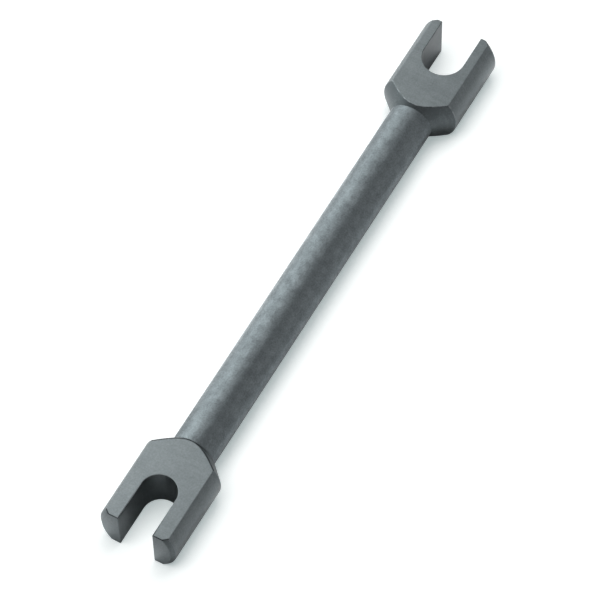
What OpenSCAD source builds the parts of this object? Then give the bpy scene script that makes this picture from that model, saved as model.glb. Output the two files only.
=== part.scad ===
// Double-ended spoke wrench: a round shank with a slotted jaw head pressed on to each end.
// Millimetres. +X runs from the small jaw to the large one, +Z is up.
// The origin lies midway between the jaw tips, on the plane of the heads' undersides.

/* [Overall] */
// Length from jaw tip to jaw tip
overall_len = 100; // [80:1:150]

/* [Shank] */
// Diameter of the round bar between the heads
shank_d = 7.1; // [6:0.1:8]
// Height of the shank's underside above the surface that the heads lie on
shank_lift = 0.25; // [0.05:0.05:0.6]

/* [Heads] */
// Diameter of the round bar that the heads are turned from
head_d = 12.7; // [11.5:0.1:15]
// Length of a head from its tip to the start of its rear shoulder
head_len = 13.6; // [13:0.1:18]
// Angle between the conical rear shoulder and the axis
shoulder_angle = 45; // [35:1:52]
// Leg of the chamfer turned round the tip of each head
rim_chamfer = 0.6; // [0.2:0.1:1.2]

/* [Small jaw] */
// Size across flats of the nipple that the small jaw turns
small_nipple = 5.6; // [4.5:0.1:6.3]
// Depth of the small jaw's slot from the tip to the bottom of its round root
small_depth = 9.5; // [7:0.1:10]
// Thickness of the small head across its milled flats
small_thick = 7.4; // [6.6:0.1:9]

/* [Large jaw] */
// Size across flats of the nipple that the large jaw turns
large_nipple = 6.7; // [5:0.1:7.4]
// Depth of the large jaw's slot from the tip to the bottom of its round root
large_depth = 9.3; // [7:0.1:10]
// Thickness of the large head across its milled flats
large_thick = 7.8; // [6.6:0.1:9]

/* [Fits] */
// Play between a nipple and the two cheeks of its jaw
nipple_play = 0.1; // [0.05:0.05:0.4]
// Diameter of the spigot turned on each end of the shank
spigot_d = 4.5; // [3.5:0.1:5.2]
// Length of each spigot
spigot_len = 4.2; // [3:0.1:4.7]
// Radial gap drawn at the press fit of spigot and socket
press_gap = 0.01; // [0:0.01:0.05]
// Air space between a spigot's end and the floor of its socket
socket_air = 0.3; // [0.1:0.1:0.6]
// Chamfer that leads a spigot into its socket, on both pieces
lead_chamfer = 0.4; // [0.2:0.1:0.6]
// Point angle of the drill that leaves the sockets' floors
drill_point = 118; // [100:1:140]

/* [Hidden] */
$fn = 96;
shank_r = shank_d / 2;
head_r = head_d / 2;
axis_h = shank_lift + shank_r;
shoulder_len = (head_r - shank_r) / tan(shoulder_angle);
head_total = head_len + shoulder_len;
shank_len = overall_len - 2 * head_total;
spigot_r = spigot_d / 2;
socket_r = spigot_r + press_gap;
socket_depth = spigot_len + socket_air;
socket_point = socket_r / tan(drill_point / 2);
// How far a cutter runs past the faces that it cuts
overrun = 1;

// Turns a profile of [radius, distance along the axis] points about the wrench's axis, along +X
module turned(profile) {
    translate([0, 0, axis_h])
        rotate([0, 90, 0])
            rotate_extrude()
                polygon(profile);
}

// Blank of a head as it leaves the lathe: tip at x = 0, chamfered rim, conical shoulder at the rear
module head_blank() {
    turned([
        [0, 0],
        [head_r - rim_chamfer, 0],
        [head_r, rim_chamfer],
        [head_r, head_len],
        [shank_r, head_total],
        [0, head_total]
    ]);
}

// Space between the two milled flats. The lower one lies on z = 0.
module between_flats(thick) {
    translate([-overrun, -head_r - overrun, 0])
        cube([head_total + 2 * overrun, head_d + 2 * overrun, thick]);
}

// U-shaped slot for a nipple, open at the tip, with a full round root
module jaw_slot(width, depth, thick) {
    root_r = width / 2;
    root_x = depth - root_r;
    translate([root_x, 0, -overrun])
        cylinder(r = root_r, h = thick + 2 * overrun);
    translate([-overrun, -root_r, -overrun])
        cube([root_x + overrun, width, thick + 2 * overrun]);
}

// Blind socket in a head's rear face, with a lead-in at the mouth and a drilled floor
module spigot_socket() {
    mouth_r = socket_r + lead_chamfer;
    turned([
        [0, head_total - socket_depth - socket_point],
        [socket_r, head_total - socket_depth],
        [socket_r, head_total - lead_chamfer],
        [mouth_r, head_total],
        [mouth_r, head_total + overrun],
        [0, head_total + overrun]
    ]);
}

// One jaw head with its tip at x = 0 and its rear face towards +X
module jaw_head(nipple, depth, thick) {
    difference() {
        intersection() {
            head_blank();
            between_flats(thick);
        }
        jaw_slot(nipple + nipple_play, depth, thick);
        spigot_socket();
    }
}

// Round bar between the heads, with a chamfered spigot beyond each shoulder
module shank() {
    shoulder_x = shank_len / 2;
    end_x = shoulder_x + spigot_len;
    half = [
        [0, end_x],
        [spigot_r - lead_chamfer, end_x],
        [spigot_r, end_x - lead_chamfer],
        [spigot_r, shoulder_x],
        [shank_r, shoulder_x]
    ];
    other_half = [for (i = [len(half) - 1:-1:0]) [half[i][0], -half[i][1]]];
    color("#565d60")
        turned(concat(half, other_half));
}

// Head with the narrower slot, at the -X end
module small_jaw_head() {
    color("#868d90")
        translate([-overall_len / 2, 0, 0])
            jaw_head(small_nipple, small_depth, small_thick);
}

// Head with the wider slot, at the +X end
module large_jaw_head() {
    color("#787f82")
        mirror([1, 0, 0])
            translate([-overall_len / 2, 0, 0])
                jaw_head(large_nipple, large_depth, large_thick);
}

shank();
small_jaw_head();
large_jaw_head();
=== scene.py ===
"""Spoke wrench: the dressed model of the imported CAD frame, laid out as an add-on and run as a script."""
import math

import bmesh
import bpy
from bpy.props import FloatProperty, FloatVectorProperty, PointerProperty
from mathutils import Matrix, Vector


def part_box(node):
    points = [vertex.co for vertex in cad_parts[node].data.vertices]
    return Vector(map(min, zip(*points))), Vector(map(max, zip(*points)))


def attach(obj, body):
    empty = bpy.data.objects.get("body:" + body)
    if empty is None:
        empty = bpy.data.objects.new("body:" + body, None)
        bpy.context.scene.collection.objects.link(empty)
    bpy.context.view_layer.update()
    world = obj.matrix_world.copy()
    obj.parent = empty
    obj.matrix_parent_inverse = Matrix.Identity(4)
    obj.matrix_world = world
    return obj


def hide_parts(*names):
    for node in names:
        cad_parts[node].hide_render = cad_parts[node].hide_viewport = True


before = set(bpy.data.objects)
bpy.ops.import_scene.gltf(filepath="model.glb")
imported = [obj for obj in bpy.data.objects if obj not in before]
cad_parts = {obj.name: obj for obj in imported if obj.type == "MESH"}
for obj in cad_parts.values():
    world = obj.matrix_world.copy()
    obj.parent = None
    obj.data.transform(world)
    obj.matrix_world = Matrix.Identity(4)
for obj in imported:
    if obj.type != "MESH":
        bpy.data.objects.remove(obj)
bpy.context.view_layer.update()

bl_info = {
    "name": "Spoke wrench",
    "version": (1, 0, 0),
    "blender": (4, 5, 0),
    "location": "View3D > Sidebar > Wrench",
    "description": "Builds a double-ended spoke wrench and the studio that it lies in",
    "category": "Add Mesh",
}

MM = 0.001
SHANK_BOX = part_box("shank")
SMALL_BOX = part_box("small_jaw_head")
LARGE_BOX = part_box("large_jaw_head")

# Height of the wrench's axis above the floor
AXIS_HEIGHT = (SHANK_BOX[0].z + SHANK_BOX[1].z) / 2
# Distance from the wrench's middle to the shoulder where the shank meets either head
SHOULDER_X = -SMALL_BOX[1].x
# Steps of a full turn on the lathe. At 76 no step line meets a flat nearer to a turned ring than the width
# of the edge break, so the bevel there isn't narrowed.
TURN_STEPS = 76
# Steps of the half turn round a slot's root
ROOT_STEPS = 40
# Segments of a broken edge and of a corner in a turned profile
EDGE_SEGMENTS = 3
# Corners nearer than this are merged where a turned shape closes
TURN_WELD = 0.001 * MM
# Corners of a cut head nearer than this are welded, so that none of them limits the width of the edge break
CUT_WELD = 0.015 * MM
# How far the slab that cuts a head runs past the turned blank
OVERRUN = 1 * MM
# Edges of a head that turn by more than this are broken, and edges that still do stay crisp in the shading
CRISP_ANGLE = math.radians(38)
# Width taken off the shank's two shoulders
SHANK_CORNER = 0.03 * MM
# The spigots and their sockets: lead-in chamfer, radius, gap round a spigot, air at its end, drill point
LEAD_CHAMFER = 0.4 * MM
SPIGOT_RADIUS = 2.25 * MM
PRESS_GAP = 0.01 * MM
SOCKET_AIR = 0.3 * MM
DRILL_HALF_ANGLE = math.radians(59)
# No edge is broken this near to the plane where a head meets the shank, nor this deep in its socket
REAR_REACH = 0.02 * MM
SOCKET_REACH = 6 * MM

# The cuts that leave a head's faces, in the order of its materials
FLAT, TURNED, SLOT, FORMED, FACED = range(5)
# Where two cuts meet, the middle of the broken edge goes with the one that comes later here
EDGE_ORDER = (SLOT, FLAT, TURNED, FORMED, FACED)
# Share of a face's normal along an axis, for a face square to the axis and for one that runs along it
SQUARE = 0.99
ALONG = 0.01
# The same for the cone and the chamfer, both at 45 degrees, and for the rings rounded at their borders
CONE_FROM, CONE_TO = 0.6, 0.8
RING_FROM, RING_TO = 0.05, 0.69
# The same for broken edges: from here on one looks up or down, and towards the tip or the rear
UP_OR_DOWN = 0.35
ENDWARDS = 0.08
# Attributes that hold the shares of bare steel, which is partly wear and partly a painted highlight, and of
# painted shade laid as thick oxide, on a head's edges
WEAR_AND_SHEEN = "edge_wear_and_sheen"
PAINTED_SHADE = "painted_edge_shade"
# Bare steel on a rubbed edge, partly wear and partly a painted highlight, and on any other broken edge
RUBBED_AND_SHEEN = 1.0
SLIGHTLY_RUBBED = 0.2
# Painted shade, laid as thick oxide, at the ends of the small head's flats, on the large head's tip and slot
# rim, and on the walls of that slot
PAINTED_END_SHADE = 1.0
PAINTED_RIM_SHADE = 0.6
PAINTED_WALL_SHADE = 0.42
# Width over which the painted shade at the ends of the small head's flats fades out
PAINTED_SHADE_FADE = 0.22 * MM

# The two sheets of the floor lie just under the heads, apart from each other, and reach this far in metres
PAPER_HEIGHT = -0.01 * MM
TABLE_HEIGHT = -0.05 * MM
FLOOR_REACH = 3.0


def linear(code):
    """Turns an sRGB hex colour into linear red, green and blue."""
    parts = [int(code[i:i + 2], 16) / 255 for i in (1, 3, 5)]
    return tuple(c / 12.92 if c <= 0.04045 else ((c + 0.055) / 1.055) ** 2.4 for c in parts)


def pattern_scale(size):
    """Texture scale, in repeats for each metre, of a pattern whose features are size mm wide."""
    return 1 / (size * MM)


class WrenchSizes(bpy.types.PropertyGroup):
    """Sizes of the wrench that the CAD frame's boxes don't give on their own"""
    shank_diameter: FloatProperty(
        name="Shank diameter", description="Diameter of the round bar between the heads",
        default=SHANK_BOX[1].z - SHANK_BOX[0].z, unit="LENGTH", precision=5)
    head_diameter: FloatProperty(
        name="Head diameter", description="Diameter that the heads are turned to",
        default=SMALL_BOX[1].y - SMALL_BOX[0].y, unit="LENGTH", precision=5)
    shoulder_angle: FloatProperty(
        name="Shoulder angle", description="Angle between a head's conical shoulder and the axis",
        default=math.radians(45), subtype="ANGLE")
    rim_chamfer: FloatProperty(
        name="Rim chamfer", description="Leg of the chamfer turned round the tip of a head",
        default=0.6 * MM, unit="LENGTH", precision=5)
    small_slot_width: FloatProperty(
        name="Small slot width", description="Width of the small jaw between its cheeks",
        default=5.7 * MM, unit="LENGTH", precision=5)
    small_slot_depth: FloatProperty(
        name="Small slot depth", description="Depth of the small jaw from the tip to its round root",
        default=9.5 * MM, unit="LENGTH", precision=5)
    large_slot_width: FloatProperty(
        name="Large slot width", description="Width of the large jaw between its cheeks",
        default=6.8 * MM, unit="LENGTH", precision=5)
    large_slot_depth: FloatProperty(
        name="Large slot depth", description="Depth of the large jaw from the tip to its round root",
        default=9.3 * MM, unit="LENGTH", precision=5)
    edge_break: FloatProperty(
        name="Edge break", description="Width taken off the sharp edges of the heads by tumbling",
        default=0.11 * MM, unit="LENGTH", precision=6)


class WrenchFinish(bpy.types.PropertyGroup):
    """Colours of the blackened steel"""
    bar_dark: FloatVectorProperty(
        name="Bar, thick oxide", description="Drawn bar where its black oxide is thickest",
        default=linear("#747B7E"), subtype="COLOR", min=0, max=1)
    bar_light: FloatVectorProperty(
        name="Bar, thin oxide", description="Drawn bar where its black oxide is thinnest",
        default=linear("#889093"), subtype="COLOR", min=0, max=1)
    head_dark: FloatVectorProperty(
        name="Head, thick oxide", description="Machined head where its black oxide is thickest",
        default=linear("#676E70"), subtype="COLOR", min=0, max=1)
    head_light: FloatVectorProperty(
        name="Head, thin oxide", description="Machined head where its black oxide is thinnest",
        default=linear("#8F9698"), subtype="COLOR", min=0, max=1)
    # Besides real rubbed wear, this pale steel is a painted highlight on the large head's rear edges and
    # rings
    worn_steel_and_sheen: FloatVectorProperty(
        name="Worn edge", description="Steel that shows where an edge has rubbed bare",
        default=linear("#9CA2A4"), subtype="COLOR", min=0, max=1)
    # Painted shade: the dark colour, laid as thick oxide, that stands in for shade at the ends of the small
    # head's flats, on the large head's tip and slot rim, and on that slot's walls
    painted_edge_shade: FloatVectorProperty(
        name="Dark edge", description="Thick oxide left at the ends of flats and in the large slot",
        default=linear("#1C2022"), subtype="COLOR", min=0, max=1)


class WrenchStudio(bpy.types.PropertyGroup):
    """Floor and lamps of the studio"""
    floor_colour: FloatVectorProperty(
        name="Floor", description="Colour of the paper that the wrench lies on",
        default=linear("#F2F4F4"), subtype="COLOR", min=0, max=1)
    floor_glow: FloatProperty(
        name="Floor glow", description="Light that the paper itself gives to the camera",
        default=0.36, min=0)
    floor_tint: FloatVectorProperty(
        name="Floor glow colour", description="Colour of the light that the paper itself gives",
        default=linear("#EFFFFF"), subtype="COLOR", min=0, max=1)
    # The table's two colours and its glow are painted light and shade, which the steel mirrors
    table_painted_light: FloatVectorProperty(
        name="Table, lit", description="Floor beside the wrench, as the steel mirrors it",
        default=linear("#E3E4E5"), subtype="COLOR", min=0, max=1)
    table_painted_shade: FloatVectorProperty(
        name="Table, dim", description="Floor beyond the lit part, as the steel mirrors it",
        default=linear("#939495"), subtype="COLOR", min=0, max=1)
    table_painted_glow: FloatProperty(
        name="Table glow", description="Light of the floor close to the shank, as the steel mirrors it",
        default=0.9, min=0)
    wall_colour: FloatVectorProperty(
        name="Walls", description="Light that comes from the room at floor level",
        default=linear("#B7B7B8"), subtype="COLOR", min=0, max=1)
    ceiling_colour: FloatVectorProperty(
        name="Ceiling", description="Light that comes from the room overhead",
        default=linear("#6E6F70"), subtype="COLOR", min=0, max=1)
    key_power: FloatProperty(
        name="Wall softbox", description="Power of the tall softbox at the wrench's +Y side",
        default=3.5, unit="POWER", min=0)
    key_colour: FloatVectorProperty(
        name="Wall softbox colour", description="Colour of the wall softbox's light",
        default=linear("#FAFFFF"), subtype="COLOR", min=0, max=1)
    top_power: FloatProperty(
        name="Top softbox", description="Power of the small softbox overhead",
        default=0.45, unit="POWER", min=0)
    fill_power: FloatProperty(
        name="Fill softbox", description="Power of the weak softbox at the wrench's -Y side",
        default=0.34, unit="POWER", min=0)
    paper_power: FloatProperty(
        name="Paper lamp", description="Power of the lamp that lights the paper alone",
        default=3.5, unit="POWER", min=0)
    paper_light: FloatVectorProperty(
        name="Paper lamp colour", description="Colour of the light on the paper, warmer than its shadows",
        default=linear("#FFF9F8"), subtype="COLOR", min=0, max=1)
    table_power: FloatProperty(
        name="Table lamp", description="Power of the lamp that lights the mirrored floor alone",
        default=3.9, unit="POWER", min=0)


def turned_profile(points, corners, break_width):
    """Draws (x, radius) points as a chain above the axis and rounds the corners whose numbers are given."""
    bm = bmesh.new()
    verts = [bm.verts.new((x, 0, AXIS_HEIGHT + radius)) for x, radius in points]
    for pair in zip(verts, verts[1:]):
        bm.edges.new(pair)
    bmesh.ops.bevel(bm, geom=[verts[i] for i in corners], offset=break_width, offset_type="OFFSET",
                    affect="VERTICES", segments=EDGE_SEGMENTS, profile=0.5, material=-1)
    return bm


def spin_closed(bm):
    """Spins a profile once round the wrench's axis, closes its seam, its poles and any open end."""
    bmesh.ops.spin(bm, geom=bm.verts[:] + bm.edges[:], cent=(0, 0, AXIS_HEIGHT), axis=(1, 0, 0),
                   angle=math.tau, steps=TURN_STEPS, use_merge=True)
    bmesh.ops.remove_doubles(bm, verts=bm.verts, dist=TURN_WELD)
    bmesh.ops.holes_fill(bm, edges=[e for e in bm.edges if e.is_boundary], sides=0)
    bmesh.ops.recalc_face_normals(bm, faces=bm.faces)


def slotted_slab(tip, rear, head_radius, slot_width, slot_depth, thickness):
    """Makes the plate between the milled flats, with its round-rooted slot open towards the tip."""
    inward = math.copysign(1, rear - tip)
    cheek = slot_width / 2
    root = Vector((tip + inward * (slot_depth - cheek), 0, 0))
    bm = bmesh.new()
    start = bm.verts.new(root + Vector((0, -cheek, 0)))
    arc = bmesh.ops.spin(bm, geom=[start], cent=root, axis=(0, 0, 1), angle=math.pi * inward,
                         steps=ROOT_STEPS)
    ends = [start, next(g for g in arc["geom_last"] if isinstance(g, bmesh.types.BMVert))]
    # From the root both ends run out along the cheeks, then sideways, then back past the rear
    mouth = tip - inward * OVERRUN
    back = rear + inward * OVERRUN
    side = head_radius + OVERRUN
    for x, least_y in ((mouth, 0), (mouth, side), (back, side)):
        ends = [bmesh.ops.extrude_vert_indiv(bm, verts=[v])["verts"][0] for v in ends]
        for v in ends:
            v.co.xy = x, math.copysign(max(least_y, abs(v.co.y)), v.co.y)
    bm.edges.new(ends)
    plate = bmesh.ops.contextual_create(bm, geom=bm.edges)["faces"]
    raised = bmesh.ops.extrude_face_region(bm, geom=plate)["geom"]
    top = [g for g in raised if isinstance(g, bmesh.types.BMVert)]
    bmesh.ops.translate(bm, verts=top, vec=(0, 0, thickness))
    bmesh.ops.recalc_face_normals(bm, faces=bm.faces)
    return bm


def shared_solid(blank, slab):
    """Returns the solid that two closed shapes have in common, and frees both."""
    objects = []
    for name, bm in (("cut_blank", blank), ("cut_slab", slab)):
        mesh = bpy.data.meshes.new(name)
        bm.to_mesh(mesh)
        bm.free()
        objects.append(bpy.data.objects.new(name, mesh))
        bpy.context.scene.collection.objects.link(objects[-1])
    cut = objects[0].modifiers.new("cut", "BOOLEAN")
    cut.operation = "INTERSECT"
    cut.solver = "EXACT"
    cut.object = objects[1]
    solid = bmesh.new()
    solid.from_object(objects[0], bpy.context.evaluated_depsgraph_get())
    for obj in objects:
        mesh = obj.data
        bpy.data.objects.remove(obj)
        bpy.data.meshes.remove(mesh)
    if not solid.faces:
        raise RuntimeError("the turned blank and the slotted slab have no solid in common")
    bmesh.ops.remove_doubles(solid, verts=solid.verts, dist=CUT_WELD)
    return solid


def finished_piece(bm, name, node, materials):
    """Makes a piece of a shaped bmesh: smooth shading, its materials, its place in the frame."""
    for face in bm.faces:
        face.smooth = True
    mesh = bpy.data.meshes.new(name)
    bm.to_mesh(mesh)
    bm.free()
    mesh.set_sharp_from_angle(angle=CRISP_ANGLE)
    for material in materials:
        mesh.materials.append(material)
    obj = bpy.data.objects.new(name, mesh)
    bpy.context.scene.collection.objects.link(obj)
    obj.modifiers.new("even_normals", "WEIGHTED_NORMAL").keep_sharp = True
    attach(obj, "root")
    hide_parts(node)


def add(tree, kind, settings=(), links=()):
    """Adds a shader node, sets its inputs (by name or number) and its properties, and links its inputs."""
    node = tree.nodes.new("ShaderNode" + kind)
    for key, value in dict(settings).items():
        if isinstance(key, int) or key in node.inputs:
            node.inputs[key].default_value = value
        else:
            setattr(node, key, value)
    for key, source in dict(links).items():
        tree.links.new(source, node.inputs[key])
    return node


def new_material(name):
    """Returns a material and its empty node tree."""
    material = bpy.data.materials.new(name)
    material.use_nodes = True
    material.node_tree.nodes.clear()
    return material, material.node_tree


def steel_surface(tree, colour, rough, relief):
    """Ends a steel's node tree: a metal of the colour and roughness given, with a relief in millimetres."""
    bump = add(tree, "Bump", {"Strength": 1.0, "Distance": MM}, {"Height": relief}).outputs["Normal"]
    shader = add(tree, "BsdfPrincipled", {"Metallic": 1.0},
                 {"Base Color": colour, "Roughness": rough, "Normal": bump}).outputs["BSDF"]
    add(tree, "OutputMaterial", links={"Surface": shader})


def blackened_drawn_bar(finish):
    """Cold-drawn round bar with a black oxide skin. The die leaves faint lines along the bar, and the hot
    oxide bath a cloudy skin, so the eye sees a satin blue-grey with a mottled border to its highlight."""
    # Millimetres. The die's lines and the oxide's grain are finer in life, and drawn this coarse to show.
    cloud_size, grain_size, line_pitch = 1.7, 0.25, 0.5
    cloud_height, grain_height, line_height = 0.09, 0.016, 0.006
    material, tree = new_material("blackened_drawn_steel_bar")
    place = add(tree, "TexCoord").outputs["Object"]
    cloud = add(tree, "TexNoise", {"Scale": pattern_scale(cloud_size), "Detail": 4, "Roughness": 0.6},
                {"Vector": place}).outputs["Fac"]
    grain = add(tree, "TexNoise", {"Scale": pattern_scale(grain_size), "Detail": 2},
                {"Vector": place}).outputs["Fac"]
    lengthwise = add(tree, "Mapping", {"Scale": (0.15, 1, 1)}, {"Vector": place}).outputs["Vector"]
    lines = add(tree, "TexNoise", {"Scale": pattern_scale(line_pitch), "Detail": 2},
                {"Vector": lengthwise}).outputs["Fac"]
    # Share of thin oxide: two noises, which together swing about 1.0
    thin = add(tree, "Math", {"operation": "ADD"}, {0: grain, 1: cloud}).outputs[0]
    thin = add(tree, "MapRange", {"From Min": 0.68, "From Max": 1.32}, {"Value": thin}).outputs["Result"]
    colour = add(tree, "Mix", {"data_type": "RGBA", 6: (*finish.bar_dark, 1), 7: (*finish.bar_light, 1)},
                 {0: thin}).outputs[2]
    # Thin oxide is smoother, so the mottle shows in the highlight more than in the dark band beside it
    rough = add(tree, "MapRange", {"To Min": 0.58, "To Max": 0.36}, {"Value": thin}).outputs["Result"]
    relief = add(tree, "Math", {"operation": "MULTIPLY", 1: cloud_height}, {0: cloud}).outputs[0]
    for pattern, height in ((grain, grain_height), (lines, line_height)):
        relief = add(tree, "Math", {"operation": "MULTIPLY_ADD", 1: height},
                     {0: pattern, 2: relief}).outputs[0]
    steel_surface(tree, colour, rough, relief)
    return material


def blackened_machined(finish, name, lay_scale, pitch, tone, painted_lean):
    """Machined steel with a black oxide skin: satin to the eye, paler on rubbed edges and darker where thick
    oxide is marked. The paler edges are partly wear and partly a painted highlight, and the dark marks are
    painted shade. The cutter's lay has lines along the axes where lay_scale is small, and an even grain where
    no axis differs. It is finer in life than pitch mm, and drawn that coarse to show at all. tone is the mean
    share of thin oxide on the axis at the wrench's middle. Each millimetre along X, Y and Z from there adds
    the amount given for that axis. That amount is a painted gradient of light and shade, which makes the
    steel lighter or darker towards one side or end."""
    # Millimetres. The oxide's grain is drawn coarser than life too.
    cloud_size, grain_size, patch_size = 2.6, 0.25, 0.7
    lay_height = 0.006
    material, tree = new_material(name)
    place = add(tree, "TexCoord").outputs["Object"]
    cloud = add(tree, "TexNoise", {"Scale": pattern_scale(cloud_size), "Detail": 4, "Roughness": 0.6},
                {"Vector": place}).outputs["Fac"]
    grain = add(tree, "TexNoise", {"Scale": pattern_scale(grain_size), "Detail": 2},
                {"Vector": place}).outputs["Fac"]
    drawn_out = add(tree, "Mapping", {"Scale": lay_scale}, {"Vector": place}).outputs["Vector"]
    lay = add(tree, "TexNoise", {"Scale": pattern_scale(pitch), "Detail": 2},
              {"Vector": drawn_out}).outputs["Fac"]
    # Each noise swings about a half, and the mean of all three is taken off again
    patterns = ((cloud, 0.8), (grain, 0.8), (lay, 0.4))
    mean = sum(share for _, share in patterns) / 2
    # Painted light and shade: the share grows or shrinks per millimetre along X, Y and Z, and stays at tone
    # on the axis at the wrench's middle
    start = tone - mean - painted_lean[2] * AXIS_HEIGHT / MM
    thin = add(tree, "VectorMath", {"operation": "DOT_PRODUCT", 1: [step / MM for step in painted_lean]},
               {0: place}).outputs["Value"]
    for pattern, share in patterns:
        thin = add(tree, "Math", {"operation": "MULTIPLY_ADD", 1: share}, {0: pattern, 2: thin}).outputs[0]
    thin = add(tree, "Math", {"operation": "ADD", 1: start, "use_clamp": True}, {0: thin}).outputs[0]
    skin = add(tree, "Mix", {"data_type": "RGBA", 6: (*finish.head_dark, 1), 7: (*finish.head_light, 1)},
               {0: thin}).outputs[2]
    # Painted shade: where thick oxide is marked on an edge or wall, the dark colour stands in for shade
    thick = add(tree, "Attribute", {"attribute_name": PAINTED_SHADE}).outputs["Fac"]
    skin = add(tree, "Mix", {"data_type": "RGBA", 7: (*finish.painted_edge_shade, 1)}, {0: thick, 6: skin}).outputs[2]
    # A rubbed edge shows its bare steel in patches, partly wear and partly a painted highlight
    edge = add(tree, "Attribute", {"attribute_name": WEAR_AND_SHEEN}).outputs["Fac"]
    patch = add(tree, "TexNoise", {"Scale": pattern_scale(patch_size), "Detail": 3},
                {"Vector": place}).outputs["Fac"]
    patch = add(tree, "MapRange", {"From Min": 0.42, "From Max": 0.62}, {"Value": patch}).outputs["Result"]
    bare = add(tree, "Math", {"operation": "MULTIPLY"}, {0: edge, 1: patch}).outputs[0]
    colour = add(tree, "Mix", {"data_type": "RGBA", 7: (*finish.worn_steel_and_sheen, 1)},
                 {0: bare, 6: skin}).outputs[2]
    rough = add(tree, "MapRange", {"From Min": 0.3, "From Max": 0.7, "To Min": 0.38, "To Max": 0.46},
                {"Value": cloud}).outputs["Result"]
    relief = add(tree, "Math", {"operation": "ADD"}, {0: lay, 1: grain}).outputs[0]
    relief = add(tree, "Math", {"operation": "MULTIPLY", 1: lay_height}, {0: relief}).outputs[0]
    steel_surface(tree, colour, rough, relief)
    return material


class WRENCH_OT_shank(bpy.types.Operator):
    """Turn the round bar with a spigot at each end"""
    bl_idname = "wrench.shank"
    bl_label = "Shank"

    def execute(self, context):
        radius = context.scene.wrench_sizes.shank_diameter / 2
        end = SHANK_BOX[1].x
        half = [
            (end, 0),
            (end, SPIGOT_RADIUS - LEAD_CHAMFER),
            (end - LEAD_CHAMFER, SPIGOT_RADIUS),
            (SHOULDER_X, SPIGOT_RADIUS),
            (SHOULDER_X, radius),
        ]
        points = half + [(-x, r) for x, r in reversed(half)]
        shoulders = (len(half) - 1, len(half))
        bm = turned_profile(points, shoulders, SHANK_CORNER)
        spin_closed(bm)
        finished_piece(bm, "drawn_shank", "shank",
                       [blackened_drawn_bar(context.scene.wrench_finish)])
        return {"FINISHED"}


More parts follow.
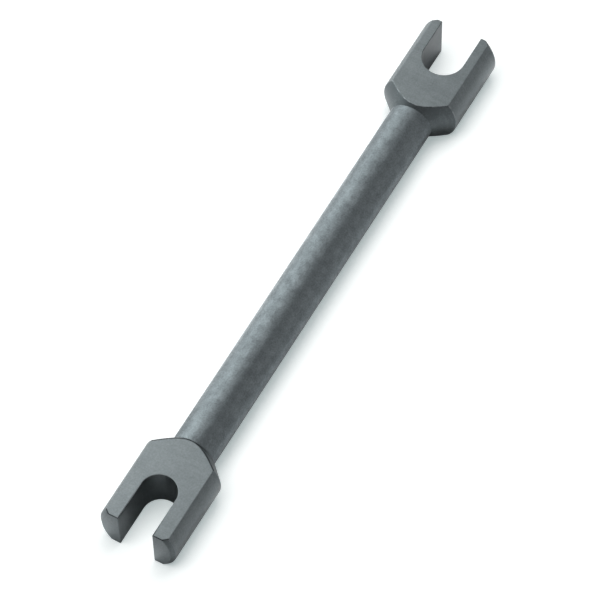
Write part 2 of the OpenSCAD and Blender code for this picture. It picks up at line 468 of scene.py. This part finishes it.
class WRENCH_OT_jaw_heads(bpy.types.Operator):
    """Turn, mill and slot the two jaw heads"""
    bl_idname = "wrench.jaw_heads"
    bl_label = "Jaw heads"

    def execute(self, context):
        sizes = context.scene.wrench_sizes
        steels = self.steels(context.scene.wrench_finish)
        heads = {
            "small_jaw_head": {
                "tip": SMALL_BOX[0].x, "rear": SMALL_BOX[1].x, "thickness": SMALL_BOX[1].z,
                "slot_width": sizes.small_slot_width, "slot_depth": sizes.small_slot_depth,
                "painted_dark_ends": True},
            "large_jaw_head": {
                "tip": LARGE_BOX[1].x, "rear": LARGE_BOX[0].x, "thickness": LARGE_BOX[1].z,
                "slot_width": sizes.large_slot_width, "slot_depth": sizes.large_slot_depth,
                "painted_dark_ends": False},
        }
        for node, head in heads.items():
            bm = self.shape(sizes, **head)
            finished_piece(bm, "machined_" + node, node, steels)
        return {"FINISHED"}

    def steels(self, finish):
        """Returns a head's steels, in the order of the cuts that leave them."""
        return [
            # The milling cutter's lines cross the flats from side to side, and the flats are painted lighter
            # on their +Y side
            blackened_machined(finish, "blackened_milled_steel", lay_scale=(1, 0.12, 1), pitch=0.4,
                               tone=0.64, painted_lean=(0, 0.03, 0)),
            # The lathe leaves rings round the sides, painted lighter low down and towards the small head
            blackened_machined(finish, "blackened_turned_steel", lay_scale=(1, 0.1, 0.1), pitch=0.35,
                               tone=0.79, painted_lean=(-0.0008, 0, -0.06)),
            # The slot's cutter leaves upright lines, and painted shade makes the walls darker in the large
            # jaw
            blackened_machined(finish, "blackened_slotted_steel", lay_scale=(1, 1, 0.12), pitch=0.4,
                               tone=0.44, painted_lean=(-0.0096, 0, 0)),
            # The form tool for the cone and the chamfer leaves rings too. They are the darkest steel, partly
            # from their own thick oxide and partly from painted shade, and are painted darker towards the
            # large head
            blackened_machined(finish, "blackened_form_turned_steel", lay_scale=(1, 0.1, 0.1), pitch=0.35,
                               tone=0.15, painted_lean=(-0.004, 0, 0)),
            # The tips are faced so finely that only an even grain shows, and they are painted lighter low
            # down and on the +Y side
            blackened_machined(finish, "blackened_faced_steel", lay_scale=(1, 1, 1), pitch=0.35,
                               tone=0.72, painted_lean=(0, 0.02, -0.12)),
        ]

    def shape(self, sizes, tip, rear, thickness, slot_width, slot_depth, painted_dark_ends):
        """Makes one head: a turned blank, cut by its flats and its slot, with its edges broken."""
        inward = math.copysign(1, rear - tip)
        head = sizes.head_diameter / 2
        bar = sizes.shank_diameter / 2
        chamfer = sizes.rim_chamfer
        cone = (head - bar) / math.tan(sizes.shoulder_angle)
        bore = SPIGOT_RADIUS + PRESS_GAP
        floor = SHANK_BOX[1].x - SHOULDER_X + SOCKET_AIR
        side_ends = (1, 2)
        blank = turned_profile([
            (tip, head - chamfer),
            (tip + inward * chamfer, head),
            (rear - inward * cone, head),
            (rear, bar),
            (rear, bore + LEAD_CHAMFER),
            (rear - inward * LEAD_CHAMFER, bore),
            (rear - inward * floor, bore),
            (rear - inward * (floor + bore / math.tan(DRILL_HALF_ANGLE)), 0),
        ], side_ends, sizes.edge_break)
        spin_closed(blank)
        slab = slotted_slab(tip, rear, head, slot_width, slot_depth, thickness)
        bm = shared_solid(blank, slab)
        self.sort_faces(bm, slot_width / 2 + sizes.edge_break)
        if painted_dark_ends:
            # A narrow border inside the flats, over which the painted shade at their ends fades out
            flats = [f for f in bm.faces if f.material_index == FLAT]
            bmesh.ops.inset_region(bm, faces=flats, thickness=PAINTED_SHADE_FADE, use_even_offset=True)
        broken = self.break_edges(bm, rear, bar, sizes.edge_break)
        self.settle_steels(broken)
        self.mark_edges(bm, broken, inward, slot_width / 2, sizes.edge_break, painted_dark_ends)
        return bm

    def sort_faces(self, bm, slot_reach):
        """Gives each face the steel of its cut. The slot's walls lie within slot_reach of the middle."""
        for face in bm.faces:
            endwise = abs(face.normal.x)
            level = abs(face.normal.z)
            in_slot = level < ALONG and abs(face.calc_center_median().y) <= slot_reach
            if level > SQUARE:
                face.material_index = FLAT
            elif in_slot and endwise < SQUARE:
                face.material_index = SLOT
            elif endwise > SQUARE:
                face.material_index = FACED
            elif CONE_FROM < endwise < CONE_TO:
                face.material_index = FORMED
            else:
                face.material_index = TURNED

    def break_edges(self, bm, rear, bar, width):
        """Bevels the sharp edges outside the socket and away from the shank, and returns the new faces."""
        sharp = []
        for edge in bm.edges:
            middle = (edge.verts[0].co + edge.verts[1].co) / 2
            from_axis = math.hypot(middle.y, middle.z - AXIS_HEIGHT)
            from_rear = abs(middle.x - rear)
            in_socket = from_axis <= bar and from_rear < SOCKET_REACH
            if edge.calc_face_angle(0) > CRISP_ANGLE and not in_socket and from_rear >= REAR_REACH:
                sharp.append(edge)
        made = bmesh.ops.bevel(bm, geom=sharp, offset=width, offset_type="OFFSET", affect="EDGES",
                               segments=EDGE_SEGMENTS, profile=0.5, material=-1,
                               loop_slide=True, clamp_overlap=True)
        return set(made["faces"])

    def settle_steels(self, broken):
        """Gives a steel to the inner faces of the broken edges, where the bevel takes that of either side,
        and not the same one each run."""
        unsettled = {f for f in broken if all(other in broken for e in f.edges for other in e.link_faces)}
        while unsettled:
            settled = broken - unsettled
            steels = {}
            for face in unsettled:
                around = {other for e in face.edges for other in e.link_faces} & settled
                if around:
                    steels[face] = max((other.material_index for other in around), key=EDGE_ORDER.index)
            if not steels:
                raise RuntimeError("a broken edge lies beside no cut face")
            for face, steel in steels.items():
                face.material_index = steel
            unsettled = unsettled - set(steels)

    def mark_edges(self, bm, broken, inward, cheek, width, painted_dark_ends):
        """Marks the edges as rubbed or dark. The head with dark ends gets painted shade, laid as thick oxide,
        at the ends of its flats. The other head's flats are rubbed at the rear, and so are its rings, which
        is partly wear and partly a painted highlight. It gets painted shade, laid as thick oxide, at the tip
        and in the slot. All broken edges are at least slightly rubbed."""
        wear = bm.loops.layers.float.new(WEAR_AND_SHEEN)
        oxide = bm.loops.layers.float.new(PAINTED_SHADE)
        # The rings rounded on the lathe lean between the turned side and the chamfer or the cone
        turned = {f for f in bm.faces if f.material_index == TURNED}
        rings = {f for f in turned if RING_FROM < abs(f.normal.x) < RING_TO} - broken
        # A flat ends at the rear, and at the tip on either side of the slot
        flat_edges = {f for f in broken if abs(f.normal.z) > UP_OR_DOWN}
        rear_ends = {f for f in flat_edges if f.normal.x * inward > ENDWARDS}
        beside_slot = {f for f in flat_edges if abs(f.calc_center_median().y) > cheek - width}
        tip_ends = {f for f in beside_slot if f.normal.x * inward < -ENDWARDS}
        slot_rim = {f for f in flat_edges if abs(f.calc_center_median().y) < cheek + width} - rear_ends
        # On the large head the rubbed rear edges and rings are partly wear and partly a painted highlight
        rubbed = set() if painted_dark_ends else rear_ends | rings
        for face in broken | rings:
            for loop in face.loops:
                loop[wear] = RUBBED_AND_SHEEN if face in rubbed else SLIGHTLY_RUBBED
        # Painted shade at the ends of the small head's flats, fading over their inset border
        if painted_dark_ends:
            ends = rear_ends | tip_ends
            for loop in (l for f in ends for v in f.verts for l in v.link_loops):
                if loop.face in ends or loop.face.material_index == FLAT:
                    loop[oxide] = PAINTED_END_SHADE
            return
        # Painted shade on the large slot's walls, its rim and the tip
        walls = {f for f in bm.faces if f.material_index == SLOT}
        for faces, share in ((walls, PAINTED_WALL_SHADE), (tip_ends | slot_rim, PAINTED_RIM_SHADE)):
            for loop in (l for f in faces for l in f.loops):
                loop[oxide] = share


class WRENCH_OT_stage(bpy.types.Operator):
    """Lay the floor, hang the lamps and set the camera"""
    bl_idname = "wrench.stage"
    bl_label = "Stage"

    def execute(self, context):
        scene = context.scene
        studio = scene.wrench_studio
        scene.view_settings.view_transform = "Standard"
        self.room(scene, studio)
        # The camera sees the paper, which the steel doesn't mirror
        paper = self.sheet(scene, "paper_floor", PAPER_HEIGHT, {
            "Base Color": (*studio.floor_colour, 1),
            "Emission Color": (*studio.floor_tint, 1),
            "Emission Strength": studio.floor_glow,
        })
        paper.visible_glossy = False
        paper.visible_diffuse = False
        paper.visible_shadow = False
        # The steel mirrors the table, which the camera doesn't see, and whose light and shade are partly
        # painted on it
        table = self.sheet(scene, "table_floor", TABLE_HEIGHT, {})
        table.visible_camera = False
        self.grade(table.active_material.node_tree, studio)
        wall = self.softbox(scene, "wall_softbox", studio.key_power, studio.key_colour,
                            place=(0.07, 0.515, 0.30), size=(0.92, 0.72))
        top = self.softbox(scene, "top_softbox", studio.top_power,
                           place=(0.20, 0.13, 0.54), size=(0.50, 0.20))
        fill = self.softbox(scene, "fill_softbox", studio.fill_power,
                            place=(0.33, -0.47, 0.36), size=(0.8, 0.6))
        paper_lamp = self.softbox(scene, "paper_lamp", studio.paper_power, studio.paper_light,
                                  place=(0.03, 0.10, 0.55), size=(0.9, 0.4))
        table_lamp = self.softbox(scene, "table_lamp", studio.table_power,
                                  place=(0.33, 0.17, 0.47), size=(0.4, 0.3))
        self.link_light(paper_lamp, "INCLUDE", paper)
        self.link_light(table_lamp, "INCLUDE", table)
        for softbox in (wall, top, fill):
            self.link_light(softbox, "EXCLUDE", paper)
        self.camera(scene)
        return {"FINISHED"}

    def room(self, scene, studio):
        """Lights the room evenly, brighter towards the walls than at the ceiling."""
        # Height on a dome of radius 1 above which the light is the ceiling's alone
        ceiling_from = 0.6
        world = bpy.data.worlds.new("room")
        world.use_nodes = True
        tree = world.node_tree
        dome = add(tree, "TexCoord").outputs["Generated"]
        rise = add(tree, "SeparateXYZ", links={0: dome}).outputs["Z"]
        share = add(tree, "MapRange", {"From Max": ceiling_from}, {"Value": rise}).outputs["Result"]
        colour = add(tree, "Mix", {"data_type": "RGBA", 6: (*studio.wall_colour, 1),
                                   7: (*studio.ceiling_colour, 1)}, {0: share}).outputs[2]
        tree.links.new(colour, tree.nodes["Background"].inputs["Color"])
        scene.world = world

    def sheet(self, scene, name, height, settings):
        """Spreads a sheet of matt, uncoated paper under the wrench, which gives the eye no gloss."""
        bm = bmesh.new()
        bmesh.ops.create_grid(bm, x_segments=1, y_segments=1, size=FLOOR_REACH,
                              matrix=Matrix.Translation((0, 0, height)))
        mesh = bpy.data.meshes.new(name)
        bm.to_mesh(mesh)
        bm.free()
        material, tree = new_material("matt_" + name)
        shader = add(tree, "BsdfPrincipled", {"Roughness": 0.9, "Specular IOR Level": 0.1, **settings})
        add(tree, "OutputMaterial", links={"Surface": shader.outputs["BSDF"]})
        mesh.materials.append(material)
        floor = bpy.data.objects.new(name, mesh)
        scene.collection.objects.link(floor)
        return floor

    def grade(self, tree, studio):
        """Paints light and shade on the floor that the steel mirrors: a painted pool of light beside the
        wrench, less bright further out towards the wall softbox, painted shade on the other side and beyond
        the jaws, and a painted glow close to the shank."""
        painted_shade_y, painted_light_y = -20 * MM, -5 * MM
        fade_y, far_y, far_share = 8 * MM, 40 * MM, 0.4
        middle_x, painted_light_reach, painted_shade_reach = 4 * MM, 56 * MM, 65 * MM
        # The painted glow ends before the heads
        glow_reach, glow_end = 22 * MM, 30 * MM
        glow_y, glow_core, glow_edge = 11 * MM, 2 * MM, 8 * MM
        place = add(tree, "TexCoord").outputs["Object"]
        axes = add(tree, "SeparateXYZ", links={0: place}).outputs
        reach = add(tree, "Math", {"operation": "SUBTRACT", 1: middle_x}, {0: axes["X"]}).outputs[0]
        reach = add(tree, "Math", {"operation": "ABSOLUTE"}, {0: reach}).outputs[0]
        share = add(tree, "MapRange", {"From Min": painted_shade_y, "From Max": painted_light_y},
                    {"Value": axes["Y"]}).outputs["Result"]
        share = add(tree, "MapRange", {"From Min": far_y, "From Max": fade_y, "To Min": far_share},
                    {"Value": axes["Y"], "To Max": share}).outputs["Result"]
        share = add(tree, "MapRange", {"From Min": painted_shade_reach, "From Max": painted_light_reach},
                    {"Value": reach, "To Max": share}).outputs["Result"]
        colour = add(tree, "Mix", {"data_type": "RGBA", 6: (*studio.table_painted_shade, 1),
                                   7: (*studio.table_painted_light, 1)}, {0: share}).outputs[2]
        glow = add(tree, "MapRange",
                   {"From Min": glow_end, "From Max": glow_reach, "To Max": studio.table_painted_glow},
                   {"Value": reach}).outputs["Result"]
        beside = add(tree, "Math", {"operation": "SUBTRACT", 1: glow_y}, {0: axes["Y"]}).outputs[0]
        beside = add(tree, "Math", {"operation": "ABSOLUTE"}, {0: beside}).outputs[0]
        glow = add(tree, "MapRange", {"From Min": glow_edge, "From Max": glow_core},
                   {"Value": beside, "To Max": glow}).outputs["Result"]
        shader = tree.nodes["Principled BSDF"]
        tree.links.new(colour, shader.inputs["Base Color"])
        tree.links.new(glow, shader.inputs["Emission Strength"])

    def softbox(self, scene, name, power, colour=(1, 1, 1), *, place, size):
        """Hangs a rectangular softbox that faces the origin. Its place and size are in metres."""
        lamp = bpy.data.lights.new(name, "AREA")
        lamp.shape = "RECTANGLE"
        lamp.size, lamp.size_y = size
        lamp.energy = power
        lamp.color = colour
        obj = bpy.data.objects.new(name, lamp)
        obj.location = place
        obj.rotation_euler = (-Vector(place)).to_track_quat("-Z", "Y").to_euler()
        obj.visible_camera = False
        scene.collection.objects.link(obj)
        return obj

    def link_light(self, lamp, state, floor):
        """Lets a lamp light one sheet of the floor alone (INCLUDE) or everything but it (EXCLUDE)."""
        lit = bpy.data.collections.new(lamp.name + "_lights")
        lit.objects.link(floor)
        lit.collection_objects[0].light_linking.link_state = state
        lamp.light_linking.receiver_collection = lit

    def camera(self, scene):
        """Stands the camera where the photograph was taken from."""
        aim = Vector((-2.353, -0.409, 2.408)) * MM
        distance = 578.47 * MM
        turn = math.radians(-59.42)
        rise = math.radians(58.06)
        roll = math.radians(-1.565)
        data = bpy.data.cameras.new("photo_camera")
        data.sensor_fit = "AUTO"
        data.angle = math.radians(8.918)
        data.clip_start = 0.01
        data.clip_end = 20
        obj = bpy.data.objects.new("photo_camera", data)
        obj.matrix_world = (
            Matrix.Translation(aim) @ Matrix.Rotation(turn, 4, "Z")
            @ Matrix.Rotation(math.pi / 2 - rise, 4, "X") @ Matrix.Rotation(roll, 4, "Z")
            @ Matrix.Translation((0, 0, distance)))
        scene.collection.objects.link(obj)
        scene.camera = obj


class WRENCH_PT_build(bpy.types.Panel):
    """Lists the steps and the values of the wrench"""
    bl_label = "Spoke wrench"
    bl_space_type = "VIEW_3D"
    bl_region_type = "UI"
    bl_category = "Wrench"

    def draw(self, context):
        for group in (context.scene.wrench_sizes, context.scene.wrench_finish, context.scene.wrench_studio):
            for name in group.__annotations__:
                self.layout.prop(group, name)
        for step in OPERATORS:
            self.layout.operator(step.bl_idname)


GROUPS = {"wrench_sizes": WrenchSizes, "wrench_finish": WrenchFinish, "wrench_studio": WrenchStudio}
OPERATORS = (WRENCH_OT_shank, WRENCH_OT_jaw_heads, WRENCH_OT_stage)


def register():
    """Registers the classes and hangs the groups of values on the scene."""
    for cls in (*GROUPS.values(), *OPERATORS, WRENCH_PT_build):
        bpy.utils.register_class(cls)
    for name, group in GROUPS.items():
        setattr(bpy.types.Scene, name, PointerProperty(type=group))


def unregister():
    """Takes away what register added, in reverse order."""
    for name in GROUPS:
        delattr(bpy.types.Scene, name)
    for cls in (WRENCH_PT_build, *reversed(OPERATORS), *reversed(GROUPS.values())):
        bpy.utils.unregister_class(cls)


def main():
    """Builds the wrench and its studio."""
    register()
    bpy.ops.wrench.shank()
    bpy.ops.wrench.jaw_heads()
    bpy.ops.wrench.stage()


if __name__ == "__main__":
    main()
